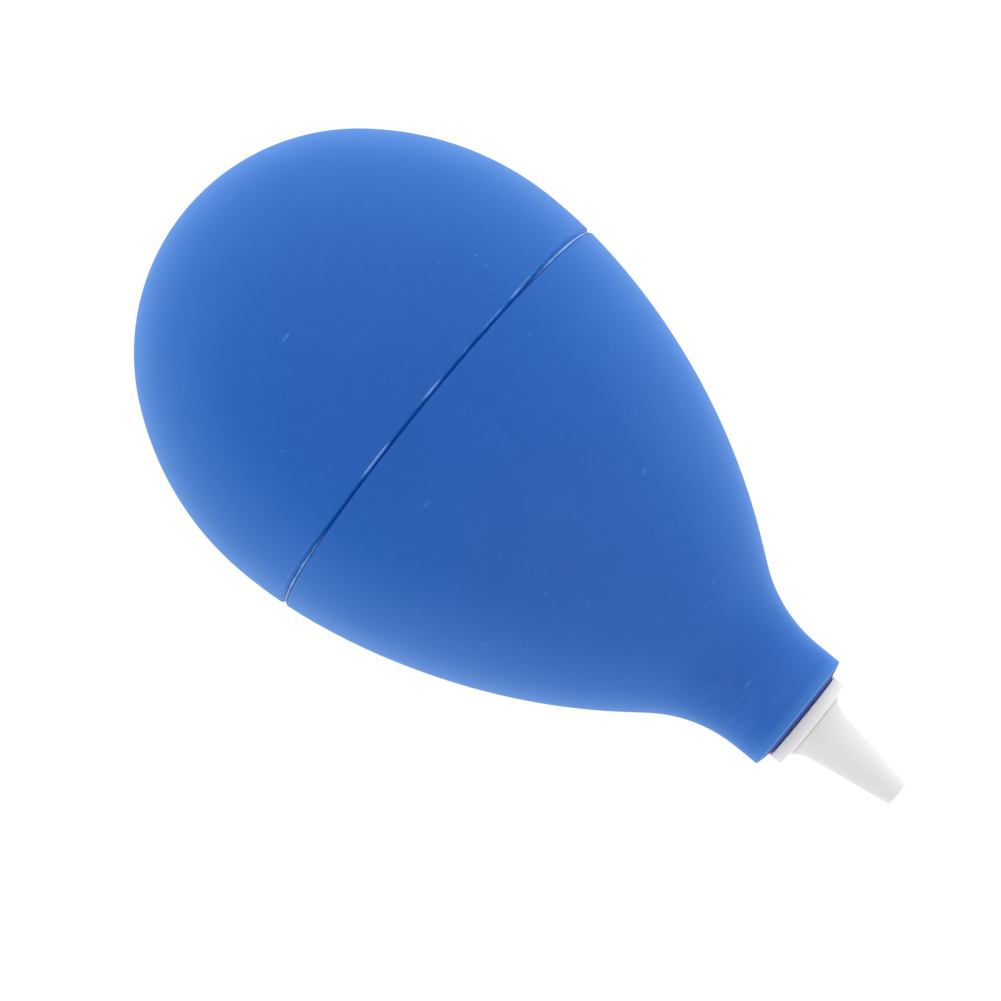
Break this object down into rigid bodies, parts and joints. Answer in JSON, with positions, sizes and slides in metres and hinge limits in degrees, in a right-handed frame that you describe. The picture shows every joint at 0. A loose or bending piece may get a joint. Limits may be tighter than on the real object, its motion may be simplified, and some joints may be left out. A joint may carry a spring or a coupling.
{
  "type": "dust_blower_bulb",
  "caption": "Round blue rubber dust blower bulb with a seam groove, a springy wall for the thumb, and a tapered white nozzle on a flange that pulls out of the neck",
  "frame": {"origin": "on the bulb's axis, half way between the rear pole and the nozzle's tip", "axes": "+X runs along the bulb's axis from the round rear end to the nozzle's tip, +Z is the side that the thumb presses, +Y completes a right-handed frame"},
  "size_m": [0.0944, 0.05, 0.05],
  "materials": {
    "blue_rubber": "satin moulded rubber",
    "bond": "cured rubber bond",
    "collar_plastic": "satin moulded plastic",
    "spout_plastic": "satin moulded plastic"
  },
  "bodies": {
    "bulb": {"rear_shell": "blue_rubber", "front_shell": "blue_rubber", "seam_bead": "bond"},
    "thumb": {"thumb_wall": "blue_rubber"},
    "collar": {"nozzle_collar": "collar_plastic"},
    "spout": {"nozzle_spout": "spout_plastic"}
  },
  "joints": [
    {"name": "thumb_press", "type": "slide", "parent": "bulb", "child": "thumb", "axis": [0.1736, 0, -0.9848], "range_m": [0, 0.014], "stiffness_N_per_m": 900},
    {"name": "nozzle_pull", "type": "slide", "parent": "bulb", "child": "collar", "axis": [1, 0, 0], "range_m": [0, 0.013]},
    {"name": "spout_pull", "type": "slide", "parent": "collar", "child": "spout", "axis": [1, 0, 0], "range_m": [0, 0.0095]}
  ]
}
